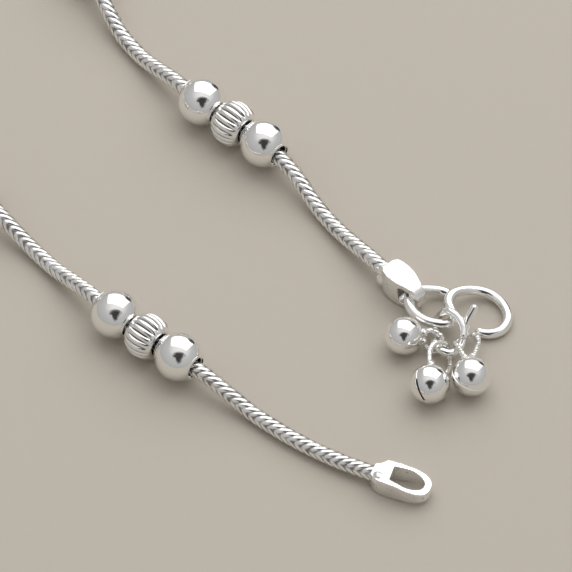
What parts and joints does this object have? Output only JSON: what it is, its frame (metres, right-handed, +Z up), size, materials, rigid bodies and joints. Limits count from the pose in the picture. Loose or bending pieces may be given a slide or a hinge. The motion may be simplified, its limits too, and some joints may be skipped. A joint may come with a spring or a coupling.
{
  "type": "payal anklet",
  "caption": "Silver anklet laid open: a snake chain with groups of round beads, a cast loop at each end, an S hook and small round bells on a jump ring.",
  "frame": {"origin": "on the surface that the anklet lies on, under the middle of its outline", "axes": "+Z up from the surface; +Y along the longer side of the outline, towards the closed end of the loop"},
  "size_m": [0.0898, 0.1025, 0.005],
  "materials": {
    "polished_silver": "mirror-polished silver with fine wear",
    "chain_silver": "bright woven silver links, burnished on top and darker in the gaps",
    "cast_silver": "cast silver, softly polished"
  },
  "bodies": {
    "root": {"snake_chain": "chain_silver", "bead_1_plain_a": "polished_silver", "bead_1_ribbed": "polished_silver", "bead_1_plain_b": "polished_silver", "bead_2_plain_a": "polished_silver", "bead_2_ribbed": "polished_silver", "bead_2_plain_b": "polished_silver", "bead_3_plain_a": "polished_silver", "bead_3_ribbed": "polished_silver", "bead_3_plain_b": "polished_silver", "bead_4_plain_a": "polished_silver", "bead_4_ribbed": "polished_silver", "bead_4_plain_b": "polished_silver", "bead_5_plain_a": "polished_silver", "bead_5_ribbed": "polished_silver", "bead_5_plain_b": "polished_silver", "bead_6_plain_a": "polished_silver", "bead_6_ribbed": "polished_silver", "bead_6_plain_b": "polished_silver", "bead_7_plain_a": "polished_silver", "bead_7_ribbed": "polished_silver", "bead_7_plain_b": "polished_silver", "end_loop_hook_side": "cast_silver", "end_loop_far_side": "cast_silver", "s_hook": "polished_silver", "jump_ring": "polished_silver", "bell_left": "polished_silver", "bell_middle": "polished_silver", "bell_right": "polished_silver"}
  },
  "joints": []
}
